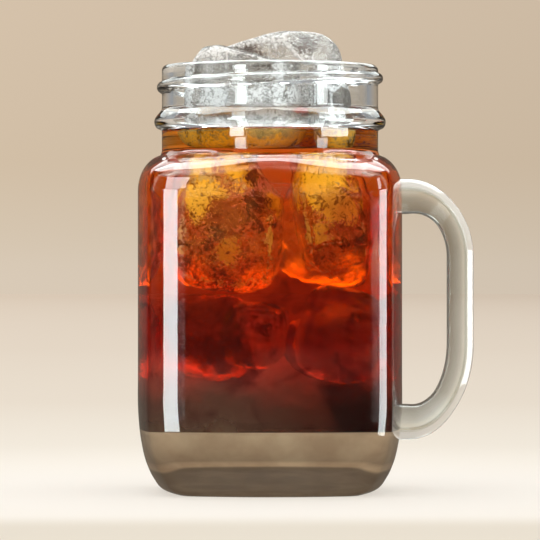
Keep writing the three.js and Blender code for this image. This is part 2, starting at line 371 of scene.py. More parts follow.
def flowing(points, steps):
    """A smooth line through the points of a profile."""
    ends = [points[0], *points, points[-1]]
    line = []
    for a, b, c, d in zip(ends, ends[1:], ends[2:], ends[3:]):
        for step in range(steps):
            t = step / steps
            line.append(
                tuple(
                    0.5
                    * (
                        2 * b[i]
                        + (c[i] - a[i]) * t
                        + (2 * a[i] - 5 * b[i] + 4 * c[i] - d[i]) * t * t
                        + (3 * b[i] - a[i] - 3 * c[i] + d[i]) * t**3
                    )
                    for i in (0, 1)
                )
            )
    line.append(points[-1])
    return line


def straight(a, b, steps):
    """The points between two points of a profile, without the two."""
    return [
        (a[0] + (b[0] - a[0]) * step / steps, a[1] + (b[1] - a[1]) * step / steps)
        for step in range(1, steps)
    ]


def turn(shape, profile):
    """Spins a profile of millimetre points round the jar's axis and returns its points."""
    verts = [shape.verts.new((r * MM, 0.0, z * MM)) for r, z in profile]
    edges = [shape.edges.new(pair) for pair in zip(verts, verts[1:])]
    before = set(shape.verts) - set(verts)
    bmesh.ops.spin(
        shape,
        geom=verts + edges,
        cent=(0, 0, 0),
        axis=(0, 0, 1),
        angle=2.0 * math.pi,
        steps=COLUMNS,
        use_merge=True,
    )
    return [vert for vert in shape.verts if vert not in before]


WELD_DISTANCE = 2e-6


def piece(name, shape, materials, body="root"):
    """Closes a shape's seams and poles, turns its faces out and makes it a smooth object."""
    bmesh.ops.remove_doubles(shape, verts=shape.verts, dist=WELD_DISTANCE)
    bmesh.ops.recalc_face_normals(shape, faces=shape.faces)
    mesh = bpy.data.meshes.new(name)
    shape.to_mesh(mesh)
    shape.free()
    for material in materials:
        mesh.materials.append(material)
    mesh.shade_smooth()
    thing = bpy.data.objects.new(name, mesh)
    scene.collection.objects.link(thing)
    if body:
        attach(thing, body)
    return thing


def combined(thing, other, operation):
    """Joins or cuts one object by another, applies it and removes the other."""
    modifier = thing.modifiers.new(operation, "BOOLEAN")
    modifier.operation = operation
    modifier.solver = "EXACT"
    modifier.object = other
    bpy.context.view_layer.update()
    made = thing.evaluated_get(bpy.context.evaluated_depsgraph_get())
    mesh = bpy.data.meshes.new_from_object(made)
    thing.modifiers.remove(modifier)
    old = thing.data
    thing.data = mesh
    mesh.name = thing.name
    bpy.data.meshes.remove(old)
    bpy.data.objects.remove(other)


shoulder = ellipse(31.65, SHOULDER_Z, 8.0, 11.0, 0.0, 81.0, 30)
outside = [(0.0, 0.0), (14.0, 0.0), (24.0, 0.0), (28.8, 0.0)]
outside += flowing([*HEEL, (BODY_HALF, 34.0)], 6)
outside += straight((BODY_HALF, 34.0), shoulder[0], 48)
outside += shoulder
outside += [(32.75, 101.4), (32.56, 102.0), (NECK_R, NECK_Z), (NECK_R, 105.0), (NECK_R, 107.6)]
outside += [(32.62, 108.4), (33.2, 108.75), (33.9, 109.0), (34.35, 109.45), (34.65, 110.0)]
outside += [(34.8, 110.9), (34.72, 111.5), (34.45, 112.2), (33.8, 113.1), (33.1, 113.9)]
outside += [(32.65, 114.5), (NECK_R, 115.2)]
outside += [(NECK_R, 115.6 + 0.3 * step) for step in range(36)]
outside += ellipse(NECK_R - RIM_ROUND, RIM_Z - RIM_ROUND, RIM_ROUND, RIM_ROUND, 0.0, 90.0, 7)

THREAD_OUT = 1.5
THREAD_HALF = 1.75
THREAD_PITCH = 5.5
THREAD_LEFT_Z = 121.3
THREAD_LOW_Z = 115.3
THREAD_HIGH_Z = 126.6


def threaded(verts):
    """Raises the screw thread, one turn that climbs from the left round the front to the right."""
    for vert in verts:
        z = vert.co.z / MM
        radius = math.hypot(vert.co.x, vert.co.y)
        if z < THREAD_LOW_Z or z > THREAD_HIGH_Z or radius < (NECK_R - 0.5) * MM:
            continue
        degrees = math.degrees(math.atan2(vert.co.y, vert.co.x))
        rise = 0.0
        for turned in (degrees - 360.0, degrees):
            full = eased(turned, -230.0, -196.0) * eased(-turned, -70.0, -36.0)
            middle = THREAD_LEFT_Z + THREAD_PITCH * (turned + 180.0) / 360.0
            off = abs(z - middle) / (THREAD_HALF * (0.5 + 0.5 * full))
            if off < 1.0:
                rise = max(rise, full * (1.0 - off**2.4) ** 0.8)
        scale = 1.0 + THREAD_OUT * MM * rise / radius
        vert.co.x *= scale
        vert.co.y *= scale


inner_half = BODY_HALF - WALL
inner_neck = NECK_R - NECK_WALL
inner_shoulder = ellipse(inner_half - 7.5, SHOULDER_Z - 2.5, 7.5, 10.5, 0.0, 84.0, 22)
inner_heel = [
    (24.0, FLOOR_Z),
    (27.7, 9.87),
    (30.8, 10.96),
    (33.3, 12.75),
    (35.1, 15.2),
    (36.25, 18.3),
    (inner_half, 22.0),
]
inside = flowing(inner_heel, 4)
inside += straight(inside[-1], inner_shoulder[0], 40)
inside += inner_shoulder
inside += [(inner_neck + 0.12, 99.6), (inner_neck, INNER_NECK_Z), (inner_neck, 108.0)]
inside += [(inner_neck, 116.0), (inner_neck, 124.0)]
inside += ellipse(NECK_R - RIM_ROUND, RIM_Z - RIM_ROUND, RIM_ROUND, RIM_ROUND, 180.0, 90.0, 7)

shape = bmesh.new()
skin = turn(shape, outside)
squared(skin)
threaded(skin)
lining = turn(shape, [(0.0, FLOOR_Z), (12.0, FLOOR_Z), *inside])
squared(lining, INNER_NECK_Z)

GLASS_IOR = 1.5
CLEAR = (0.985, 0.99, 0.985, 1.0)
NECK_SHADE_GREY = (0.85, 0.87, 0.88, 1.0)
# painted shade: above the drink the glass is painted a little greyer
clear_glass, add = node_tree("clear_glass")
place = add("ShaderNodeTexCoord").outputs["Object"]
up = add("ShaderNodeSeparateXYZ", {"Vector": place}).outputs["Z"]
above_drink = add(
    "ShaderNodeMapRange", {"Value": up, "From Min": 107.6 * MM, "From Max": 109.0 * MM}
).outputs["Result"]
glass_colour_and_shade = add(
    "ShaderNodeMixRGB",
    {"Fac": above_drink, "Color1": CLEAR, "Color2": NECK_SHADE_GREY},
).outputs["Color"]
glass_shader = add(
    "ShaderNodeBsdfPrincipled",
    {
        "Base Color": glass_colour_and_shade,
        "Roughness": 0.0,
        "IOR": GLASS_IOR,
        "Transmission Weight": 1.0,
    },
)
add("ShaderNodeOutputMaterial", {"Surface": glass_shader.outputs["BSDF"]})

# where the drink wets it, the inside of the glass hardly mirrors anything
wetted_glass, add = node_tree("wetted_glass")
glass_shader = add(
    "ShaderNodeBsdfPrincipled",
    {
        "Base Color": CLEAR,
        "Roughness": 0.0,
        "IOR": GLASS_IOR,
        "Transmission Weight": 1.0,
        "Specular Tint": (0.04, 0.04, 0.04, 1.0),
    },
)
add("ShaderNodeOutputMaterial", {"Surface": glass_shader.outputs["BSDF"]})
lined = set(lining)
WETTED_Z = 108.6
for face in shape.faces:
    if all(vert in lined and vert.co.z < WETTED_Z * MM for vert in face.verts):
        face.material_index = 1
jar = piece("jar", shape, [clear_glass, wetted_glass])
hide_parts("jar_mug")

# The handle's middle line leaves the shoulder level, runs straight down and comes back level to the
# foot of the body. Its section is widest and thickest at the two roots.
HANDLE_OUT = 57.2
HANDLE_TOP_Z = 88.6
HANDLE_FOOT_Z = 20.9
HANDLE_LOW_Z = 44.5
HANDLE_THICK = 7.7
HANDLE_WIDE = 13.0
ROOT_THICK = 10.4
ROOT_WIDE = 16.0
ROOTS_X = (38.0, 39.5, 41.0)
CORNER_STEPS = 26
SIDE_STEPS = 9
HANDLE_LINE = [
    # each corner is a quarter of an ellipse: middle, half widths and the angles that it runs through
    ((42.0, 70.6), (15.2, 18.0), 90.0, 0.0),
    ((42.0, HANDLE_LOW_Z), (15.2, 23.6), 0.0, -90.0),
]


def handle_stations():
    """Points along the handle's middle line with the way that it runs there."""
    points = [(x, HANDLE_TOP_Z) for x in ROOTS_X]
    for (x, z), (wide, high), start, end in HANDLE_LINE:
        points += ellipse(x, z, wide, high, start, end, CORNER_STEPS)
        if z > HANDLE_LOW_Z:
            points += straight(points[-1], (HANDLE_OUT, HANDLE_LOW_Z), SIDE_STEPS)
    points += [(x, HANDLE_FOOT_Z) for x in reversed(ROOTS_X)]
    stations = []
    for index, (x, z) in enumerate(points):
        x0, z0 = points[max(0, index - 1)]
        x1, z1 = points[min(len(points) - 1, index + 1)]
        along = Vector((x1 - x0, 0.0, z1 - z0)).normalized()
        stations.append((Vector((x, 0.0, z)) * MM, along))
    return stations


stations = handle_stations()
lengths = [0.0]
for (a, _), (b, _) in zip(stations, stations[1:]):
    lengths.append(lengths[-1] + (b - a).length)
HANDLE_SECTION = [
    # across the loop, from its inside to its outside, and across its width: the outer edges are bevelled
    (1.0, -0.742),
    (0.46, -1.0),
    (-0.93, -1.0),
    (-1.0, -0.8),
    (-1.0, 0.8),
    (-0.93, 1.0),
    (0.46, 1.0),
    (1.0, 0.742),
]


def softened(corners, share, steps):
    """The outline with each corner turned into a short curve."""
    line = []
    for index, corner in enumerate(corners):
        here = Vector((*corner, 0.0))
        for_before = Vector((*corners[index - 1], 0.0)) - here
        for_after = Vector((*corners[(index + 1) % len(corners)], 0.0)) - here
        start = here + for_before.normalized() * min(share, 0.45 * for_before.length)
        end = here + for_after.normalized() * min(share, 0.45 * for_after.length)
        for step in range(steps + 1):
            t = step / steps
            line.append(start * (1 - t) ** 2 + here * 2 * t * (1 - t) + end * t * t)
    return line


# The handle carries painted shade, greyer towards its inside, and a painted highlight, white and less
# clear, on its outer bevel, so each point keeps how far out it lies across the loop, 0 at the loop's
# inside and 1 at its outside.
handle_glass, add = node_tree("handle_glass")
outward = add("ShaderNodeAttribute", attribute_name="outward").outputs["Fac"]
handle_shade_and_highlight = ramp(
    add,
    outward,
    [
        (0.0, (0.3, 0.3, 0.27, 1.0)),
        (0.1, (0.4, 0.39, 0.35, 1.0)),
        (0.45, (0.62, 0.63, 0.61, 1.0)),
        (0.62, (0.88, 0.9, 0.86, 1.0)),
        (0.7, (0.68, 0.73, 0.7, 1.0)),
        (0.78, (0.96, 0.97, 0.96, 1.0)),
        (1.0, (0.97, 0.97, 0.96, 1.0)),
    ],
)
# the painted highlight on the outer bevel lets less light through, so that it reads white
see_through = ramp(add, outward, [(0.0, 0.93), (0.66, 0.93), (0.78, 0.42), (0.97, 0.35), (1.0, 0.7)])
handle_shader = add(
    "ShaderNodeBsdfPrincipled",
    {
        "Base Color": handle_shade_and_highlight,
        "Roughness": 0.0,
        "IOR": GLASS_IOR,
        "Transmission Weight": see_through,
    },
)
add("ShaderNodeOutputMaterial", {"Surface": handle_shader.outputs["BSDF"]})

shape = bmesh.new()
ring = [shape.verts.new(point) for point in softened(HANDLE_SECTION, 0.14, 6)]
lid = shape.faces.new(ring)
ring = lid.edges[:]


def station_matrix(index):
    """Takes the handle's section, 2 across each way, to its size and place at a station."""
    middle, along = stations[index]
    share = lengths[index] / lengths[-1]
    root = 1.0 - eased(min(share, 1.0 - share), 0.02, 0.2)
    thick = (HANDLE_THICK + (ROOT_THICK - HANDLE_THICK) * root) * MM / 2.0
    wide = (HANDLE_WIDE + (ROOT_WIDE - HANDLE_WIDE) * root) * MM / 2.0
    out = Vector((-along.z, 0.0, along.x))
    side = Vector((0.0, 1.0, 0.0))
    return Matrix(
        (
            (out.x * thick, side.x * wide, along.x, middle.x),
            (out.y * thick, side.y * wide, along.y, middle.y),
            (out.z * thick, side.z * wide, along.z, middle.z),
            (0.0, 0.0, 0.0, 1.0),
        )
    )


bmesh.ops.transform(shape, matrix=station_matrix(0), verts=shape.verts)
current = station_matrix(0)
for index in range(1, len(stations)):
    grown = bmesh.ops.extrude_edge_only(shape, edges=ring)["geom"]
    ring = [item for item in grown if isinstance(item, bmesh.types.BMEdge)]
    points = [item for item in grown if isinstance(item, bmesh.types.BMVert)]
    target = station_matrix(index)
    bmesh.ops.transform(shape, matrix=target @ current.inverted(), verts=points)
    current = target
bmesh.ops.holes_fill(shape, edges=ring, sides=0)
HANDLE_SLOT = 2
for face in shape.faces:
    face.material_index = HANDLE_SLOT
handle = piece("handle", shape, [clear_glass, wetted_glass, handle_glass], body=None)
jar.data.materials.append(handle_glass)
combined(jar, handle, "UNION")
# the boolean drops such marks, so they are written on the joined glass
HANDLE_FROM_X = 38.5
HANDLE_HALF_DEPTH = 9.0
outward_mark = jar.data.attributes.new("outward", "FLOAT", "POINT")
for index, vert in enumerate(jar.data.vertices):
    if vert.co.x > HANDLE_FROM_X * MM and abs(vert.co.y) < HANDLE_HALF_DEPTH * MM:
        place = Vector((vert.co.x, 0.0, vert.co.z))
        nearest = min(range(len(stations)), key=lambda step: (stations[step][0] - place).length)
        local = station_matrix(nearest).inverted() @ vert.co
        outward_mark.data[index].value = 0.5 + 0.5 * min(1.0, max(-1.0, local.x))
jar.data.set_sharp_from_angle(angle=math.radians(40.0))

# The ice: cubes that have melted to soft edges and facets, with a frosted, crackled skin. Four stand
# in the neck and break the surface, and the rest is sunk in the coffee.
ICE_IOR = 1.31
MELTED_OFF = 0.92


def cube_points(shape, block, cuts, grow=0.0):
    """Adds one melted cube to a shape: a rounded box with its own facets, swell and fine roughness.

    A facet is the way it faces and how far it lies from the cube's middle. Each point keeps how near
    it is to an edge, for the frost there.
    """
    edge_mark = shape.verts.layers.float.get("edge") or shape.verts.layers.float.new("edge")
    before = set(shape.verts)
    made = bmesh.ops.create_cube(shape, size=2.0)["verts"]
    edges = {edge for vert in made for edge in vert.link_edges}
    bmesh.ops.subdivide_edges(shape, edges=list(edges), cuts=cuts, use_grid_fill=True)
    verts = [vert for vert in shape.verts if vert not in before]
    size = Vector(block["size"]) / 2.0
    swell = block["swell"]
    power = block["round"]
    spin = (
        Matrix.Rotation(math.radians(block["turn"][2]), 3, "Z")
        @ Matrix.Rotation(math.radians(block["turn"][1]), 3, "Y")
        @ Matrix.Rotation(math.radians(block["turn"][0]), 3, "X")
    )
    for vert in verts:
        p = vert.co.copy()
        mark = sorted(abs(value) for value in p)[1]
        p /= sum(abs(value) ** power for value in p) ** (1.0 / power)
        side = p.normalized()
        wave = math.sin(3.0 * side.x + swell) * math.cos(4.0 * side.y - swell)
        scale = 1.0 + 0.03 * wave * math.sin(2.0 * side.z + 1.0)
        p = Vector([p[i] * scale * size[i] for i in range(3)])
        for x, y, z, reach in block["facets"]:
            out = Vector((x, y, z)).normalized()
            over = p.dot(out) - reach
            p -= out * (MELTED_OFF * max(0.0, over))
            if over > 0.0:
                mark = max(0.0, 1.0 - over * 0.6)
            else:
                mark = max(mark, 1.0 + over * 0.35)
        vert[edge_mark] = mark
        fine = noise.noise(p * 0.22 + Vector((swell * 7.0, 0.0, 0.0)))
        fine += 0.4 * noise.noise(p * 0.6 + Vector((0.0, swell * 5.0, 0.0)))
        p += side * (grow + block["rough"] * fine)
        vert.co = (spin @ p + Vector(block["at"])) * MM


NECK_ICE = {
    "ice_main": {
        "size": (40.0, 19.4, 32.2),
        "at": (2.0, 8.6, 122.7),
        "turn": (0.0, 0.0, -20.0),
        "round": 3.6,
        "facets": [(-0.3105, 0.0, 0.9506, 14.6), (0.5, -0.62, 0.6, 15.6)],
        "swell": 0.4,
        "rough": 0.2,
    },
    "ice_left": {
        "size": (33.5, 19.0, 33.0),
        "at": (-7.6, -9.6, 117.6),
        "turn": (0.0, 0.0, -20.0),
        "round": 4.0,
        "facets": [(0.266, 0.0, 0.964, 13.4), (-0.8, -0.1, 0.6, 18.4)],
        "swell": 1.9,
        "rough": 0.2,
    },
    "ice_front": {
        "size": (10.4, 11.0, 23.0),
        "at": (17.2, -14.2, 112.3),
        "turn": (0.0, 0.0, -40.0),
        "round": 3.4,
        "facets": [(0.5, -0.4, 0.7, 9.5)],
        "swell": 3.1,
        "rough": 0.2,
    },
    "ice_back": {
        "size": (24.0, 7.6, 22.0),
        "at": (7.9, 21.8, 112.4),
        "turn": (0.0, 0.0, -20.0),
        "round": 4.0,
        "facets": [(-0.6, 0.4, 0.7, 11.5)],
        "swell": 5.2,
        "rough": 0.2,
    },
}


def sunk(at, size, turn_by, swell):
    """A sunk cube with three facets melted off it, which face ways that its swell gives."""
    half = sum(size) / 6.0
    facets = [
        (math.sin(swell), math.cos(2.0 * swell), 0.8, half * 1.1),
        (math.cos(swell), -0.8, math.sin(3.0 * swell), half * 1.12),
        (-math.sin(2.0 * swell), 0.3, -0.9, half * 1.08),
    ]
    return {
        "at": at,
        "size": size,
        "turn": turn_by,
        "swell": swell,
        "round": 3.8,
        "facets": facets,
        "rough": 0.9,
    }


SUNK_ICE = [
    sunk((-11.8, -17.0, 78.5), (30.6, 27.0, 36.0), (4, 3, -3), 0.7),
    sunk((16.8, -17.0, 81.5), (19.0, 26.0, 31.0), (-4, -10, 8), 1.6),
    sunk((-15.6, 15.5, 78.5), (27.0, 28.0, 33.0), (6, 4, 10), 2.2),
    sunk((16.2, 15.5, 78.0), (26.0, 27.0, 32.0), (-5, 6, -8), 3.3),
    sunk((19.6, -11.0, 47.4), (23.0, 27.0, 27.0), (5, 12, 8), 4.1),
    sunk((-4.4, -18.0, 47.4), (17.0, 20.0, 18.0), (10, 8, -15), 4.9),
    sunk((-16.0, 13.5, 46.0), (24.0, 24.0, 24.0), (-12, 10, 20), 5.7),
    sunk((15.0, 17.5, 44.0), (20.0, 18.0, 17.0), (9, -10, 30), 0.2),
]


def ice_finish(name, clear_tone, frost, cracks, thread, crackle, blur, spots=(), sunk_in=False):
    """Melting ice: frost along the edges and in patches, a crackled skin and stained cracks.

    Frost is where it starts, how thick it gets and its tone. Cracks are where they end, their dark
    and their middle tone. Threads are how strong the fine lines are, their tone, scale and where they
    end. Crackle is the height of the skin's relief in millimetres, and blur its roughness. A spot is
    x, z, radius, a tone and how frosted it is. A cube that is sunk in the drink is stained only on the
    sides that face the glass, and other ice is stained brown up to the drink's level.
    """
    finish, add = node_tree(name)
    place = add("ShaderNodeTexCoord").outputs["Object"]
    parts = add("ShaderNodeSeparateXYZ", {"Vector": place})
    lumps = add(
        "ShaderNodeTexNoise",
        {"Vector": place, "Scale": 150.0, "Detail": 10.0, "Roughness": 0.76, "Distortion": 0.6},
    ).outputs["Fac"]
    patches = add(
        "ShaderNodeTexNoise", {"Vector": place, "Scale": 62.0, "Detail": 3.0}
    ).outputs["Fac"]
    grit = add(
        "ShaderNodeTexNoise",
        {"Vector": place, "Scale": 1300.0, "Detail": 3.0, "Roughness": 0.7},
    ).outputs["Fac"]
    relief = add("ShaderNodeMath", {0: lumps, 1: grit}, operation="ADD").outputs["Value"]
    ripple = add(
        "ShaderNodeBump", {"Height": relief, "Strength": 1.0, "Distance": crackle * MM}
    ).outputs["Normal"]
    edge = add("ShaderNodeAttribute", attribute_name="edge").outputs["Fac"]
    near_edge = add(
        "ShaderNodeMapRange",
        {"Value": edge, "From Min": 0.7, "From Max": 1.0, "To Min": 0.0, "To Max": 0.22},
    ).outputs["Result"]
    veil = add("ShaderNodeMath", {0: lumps, 1: near_edge}, operation="ADD").outputs["Value"]
    speckle = add(
        "ShaderNodeMath", {0: grit, 1: 0.5, 2: veil}, operation="MULTIPLY_ADD"
    ).outputs["Value"]
    frost_start, thick, frost_tone = frost
    frosted = ramp(add, speckle, [(frost_start, 0.0), (min(1.0, frost_start + 0.1), thick)])
    split = add(
        "ShaderNodeMath", {0: patches, 1: 0.45, 2: lumps}, operation="MULTIPLY_ADD"
    ).outputs["Value"]
    crack = add(
        "ShaderNodeMath", {0: grit, 1: 0.35, 2: split}, operation="MULTIPLY_ADD"
    ).outputs["Value"]
    crack_end, dark, middle = cracks
    stain = ramp(
        add,
        crack,
        [(crack_end - 0.07, dark), (crack_end - 0.01, middle), (crack_end + 0.02, clear_tone)],
    )
    if not sunk_in:
        # what is under the drink's level is stained brown
        wet = add(
            "ShaderNodeMapRange",
            {"Value": parts.outputs["Z"], "From Min": 107.8 * MM, "From Max": WETTED_Z * MM},
        ).outputs["Result"]
        brown = ramp(
            add,
            crack,
            [(crack_end - 0.03, DARK_BROWN), (crack_end + 0.05, CLEAR_GOLD), (1.0, CLEAR_GOLD)],
        )
        gold_crackle = ramp(
            add, crack, [(crack_end - 0.06, DARK_BROWN), (crack_end + 0.03, DEEP_GOLD)]
        )
        stain = add(
            "ShaderNodeMixRGB", {"Fac": wet, "Color1": brown, "Color2": stain}
        ).outputs["Color"]
        frosted = add(
            "ShaderNodeMixRGB",
            {"Fac": wet, "Color1": WET_FROST, "Color2": frosted},
        ).outputs["Color"]
        frost_tone = add(
            "ShaderNodeMixRGB", {"Fac": wet, "Color1": gold_crackle, "Color2": frost_tone}
        ).outputs["Color"]
    flat_place = add(
        "ShaderNodeVectorMath", {0: place, 1: (1.0, 0.0, 1.0)}, operation="MULTIPLY"
    ).outputs["Vector"]
    # the speckle makes a spot's edge ragged and adds about 15 mm to each distance, so the same is
    # added to the radius
    for x, z, radius, spot_tone, spot_frost in spots:
        off = add(
            "ShaderNodeVectorMath",
            {0: flat_place, 1: (x * MM, 0.0, z * MM)},
            operation="DISTANCE",
        ).outputs["Value"]
        ragged = add(
            "ShaderNodeMath", {0: speckle, 1: 0.02, 2: off}, operation="MULTIPLY_ADD"
        ).outputs["Value"]
        amount = add(
            "ShaderNodeMapRange",
            {
                "Value": ragged,
                "From Min": (radius + SPECKLE_REACH) * MM,
                "From Max": (radius + SPECKLE_REACH + 1.0) * MM,
                "To Min": 1.0,
                "To Max": 0.0,
            },
        ).outputs["Result"]
        stain = add(
            "ShaderNodeMixRGB", {"Fac": amount, "Color1": stain, "Color2": spot_tone}
        ).outputs["Color"]
        frosted = add(
            "ShaderNodeMixRGB",
            {"Fac": amount, "Color1": frosted, "Color2": (spot_frost, spot_frost, spot_frost, 1.0)},
        ).outputs["Color"]
    if sunk_in:
        deep = add("ShaderNodeMath", {0: parts.outputs["Y"]}, operation="ABSOLUTE").outputs["Value"]
        wide = add("ShaderNodeMath", {0: parts.outputs["X"]}, operation="ABSOLUTE").outputs["Value"]
        wide = add("ShaderNodeMath", {0: wide, 1: 8.0 * MM}, operation="SUBTRACT").outputs["Value"]
        outer = add("ShaderNodeMath", {0: deep, 1: wide}, operation="MAXIMUM").outputs["Value"]
        skin = add(
            "ShaderNodeMapRange", {"Value": outer, "From Min": 14.0 * MM, "From Max": 20.0 * MM}
        ).outputs["Result"]
        stain = add(
            "ShaderNodeMixRGB", {"Fac": skin, "Color1": clear_tone, "Color2": stain}
        ).outputs["Color"]
        frosted = add(
            "ShaderNodeMixRGB", {"Fac": skin, "Color1": (0.0, 0.0, 0.0, 1.0), "Color2": frosted}
        ).outputs["Color"]
    surface = add(
        "ShaderNodeMixRGB", {"Fac": frosted, "Color1": stain, "Color2": frost_tone}
    ).outputs["Color"]
    # fine dark lines run through the frost as well
    strength, thread_tone, scale, thread_end = thread
    fine = add(
        "ShaderNodeTexNoise",
        {"Vector": place, "Scale": scale, "Detail": 6.0, "Roughness": 0.72, "Distortion": 1.2},
    ).outputs["Fac"]
    lined_by = ramp(add, fine, [(thread_end, strength), (thread_end + 0.055, 0.0)])
    surface = add(
        "ShaderNodeMixRGB", {"Fac": lined_by, "Color1": surface, "Color2": thread_tone}
    ).outputs["Color"]
    clear = add("ShaderNodeMath", {0: 1.0, 1: frosted}, operation="SUBTRACT").outputs["Value"]
    shader = add(
        "ShaderNodeBsdfPrincipled",
        {
            "Base Color": surface,
            "Roughness": blur,
            "IOR": ICE_IOR,
            "Transmission Weight": clear,
            "Normal": ripple,
        },
    )
    add("ShaderNodeOutputMaterial", {"Surface": shader.outputs["BSDF"]})
    return finish


UNSTAINED = (1.0, 1.0, 1.0, 1.0)
CLEAR_GOLD = (1.0, 0.72, 0.28, 1.0)
MELT_BROWN = (0.05, 0.02, 0.012, 1.0)
GOLD = (1.0, 0.64, 0.14, 1.0)
DEEP_GOLD = (1.0, 0.55, 0.07, 1.0)
FLAT_BROWN = (0.42, 0.17, 0.05, 1.0)
WHITE = (0.97, 0.97, 0.97, 1.0)
DARK_BROWN = (0.1, 0.03, 0.01, 1.0)
WET_FROST = (0.75, 0.75, 0.75, 1.0)
SPECKLE_REACH = 15.0
MELT_SPOTS = [
    (-16.0, 117.0, 4.2, WHITE, 0.75),
    (-3.0, 116.8, 3.4, WHITE, 0.85),
    (8.0, 117.2, 3.0, WHITE, 0.85),
    (0.0, 110.5, 7.0, WHITE, 0.4),
    (-6.6, 132.6, 1.8, MELT_BROWN, 0.0),
    (3.4, 135.6, 1.3, MELT_BROWN, 0.0),
    (10.8, 134.0, 2.2, MELT_BROWN, 0.0),
    (-2.0, 129.0, 1.2, MELT_BROWN, 0.0),
]
GOLD_SPOTS = [
    (-19.0, 89.0, 7.5, GOLD, 0.8),
    (-9.0, 95.0, 5.5, GOLD, 0.8),
    (13.0, 94.0, 9.5, GOLD, 0.85),
    (20.0, 86.0, 5.0, GOLD, 0.6),
    (1.0, 86.0, 3.5, GOLD, 0.4),
    (-12.0, 72.0, 3.0, GOLD, 0.3),
    (14.0, 77.0, 2.5, GOLD, 0.4),
    (-14.0, 83.0, 5.0, FLAT_BROWN, 0.1),
    (-4.6, 94.0, 2.2, DARK_BROWN, 0.0),
    (-4.0, 87.0, 2.2, DARK_BROWN, 0.0),
    (-2.6, 79.0, 1.8, DARK_BROWN, 0.0),
    (-17.0, 76.5, 1.6, DARK_BROWN, 0.0),
]
melting_ice = ice_finish(
    "melting_ice",
    clear_tone=(0.94, 0.92, 0.9, 1.0),
    frost=(0.79, 0.9, WHITE),
    cracks=(0.835, (0.2, 0.19, 0.185, 1.0), (0.55, 0.55, 0.54, 1.0)),
    thread=(0.75, (0.26, 0.25, 0.24, 1.0), 800.0, 0.43),
    crackle=0.5,
    blur=0.12,
    spots=MELT_SPOTS,
)
crackled_ice = ice_finish(
    "crackled_ice",
    clear_tone=UNSTAINED,
    frost=(0.9, 0.5, GOLD),
    cracks=(0.86, (0.03, 0.008, 0.004, 1.0), (0.4, 0.14, 0.04, 1.0)),
    thread=(0.9, (0.22, 0.06, 0.015, 1.0), 480.0, 0.415),
    crackle=0.2,
    blur=0.02,
    spots=GOLD_SPOTS,
    sunk_in=True,
)
# the other sunk cubes have no frost
sunk_clear_ice = ice_finish(
    "sunk_clear_ice",
    clear_tone=UNSTAINED,
    frost=(1.2, 0.0, GOLD),
    cracks=(0.82, (0.1, 0.03, 0.02, 1.0), (0.5, 0.25, 0.18, 1.0)),
    thread=(0.5, (0.3, 0.12, 0.08, 1.0), 420.0, 0.4),
    crackle=0.12,
    blur=0.15,
    sunk_in=True,
)

NECK_CUTS = 30
SUNK_CUTS = 24
HOLLOW_CUTS = 18
for name, block in NECK_ICE.items():
    shape = bmesh.new()
    cube_points(shape, block, cuts=NECK_CUTS)
    lump = piece("neck_" + name, shape, [melting_ice])
    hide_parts(name)

# the two upper cubes at the front carry the gold and brown that the photo shows
for index, block in enumerate(SUNK_ICE):
    shape = bmesh.new()
    cube_points(shape, block, cuts=SUNK_CUTS)
    lump = piece(f"sunk_ice_{index + 1}", shape, [crackled_ice if index < 2 else sunk_clear_ice])

# The coffee fills the jar from the settled layer up to just under the bead. Light that crosses only
# a little of it comes out gold, more of it makes amber and then red, and the deepest part is black.
# Painted shade in its colour also darkens it from clear near the top to near black at the bottom.
DRINK_Z = 108.2
SETTLED_Z = 19.3
INTO_GLASS = 0.15
ICE_BITE = 0.12
DRINK_IOR = 1.33
FLAT_STEPS = (12.0, 24.0)


def reach_at(z):
    """The inside half width at a height."""
    for (r0, z0), (r1, z1) in zip(inside, inside[1:]):
        if z0 <= z <= z1:
            return r0 + (r1 - r0) * (z - z0) / max(1e-9, z1 - z0)
    return inside[-1][0]


def filling(low, high):
    """The profile of what fills the inside between two heights, a hair into the glass."""
    wall = [(r + INTO_GLASS, z) for r, z in inside if low + 0.2 < z < high - 0.2]
    return [(reach_at(low) + INTO_GLASS, low), *wall, (reach_at(high) + INTO_GLASS, high)]


coffee_liquid, add = node_tree("coffee")
place = add("ShaderNodeTexCoord").outputs["Object"]
drift = add(
    "ShaderNodeTexNoise",
    {"Vector": place, "Scale": 60.0, "Detail": 6.0, "Roughness": 0.6},
).outputs["Color"]
shift = add(
    "ShaderNodeVectorMath", {0: drift, 1: (0.5, 0.5, 0.5)}, operation="SUBTRACT"
).outputs["Vector"]
moved = add(
    "ShaderNodeVectorMath", {0: shift, "Scale": 0.022}, operation="SCALE"
).outputs["Vector"]
swirled = add("ShaderNodeVectorMath", {0: place, 1: moved}, operation="ADD").outputs["Vector"]
level = add("ShaderNodeSeparateXYZ", {"Vector": swirled}).outputs["Z"]
share = add(
    "ShaderNodeMapRange",
    {"Value": level, "From Min": SETTLED_Z * MM, "From Max": DRINK_Z * MM},
).outputs["Result"]
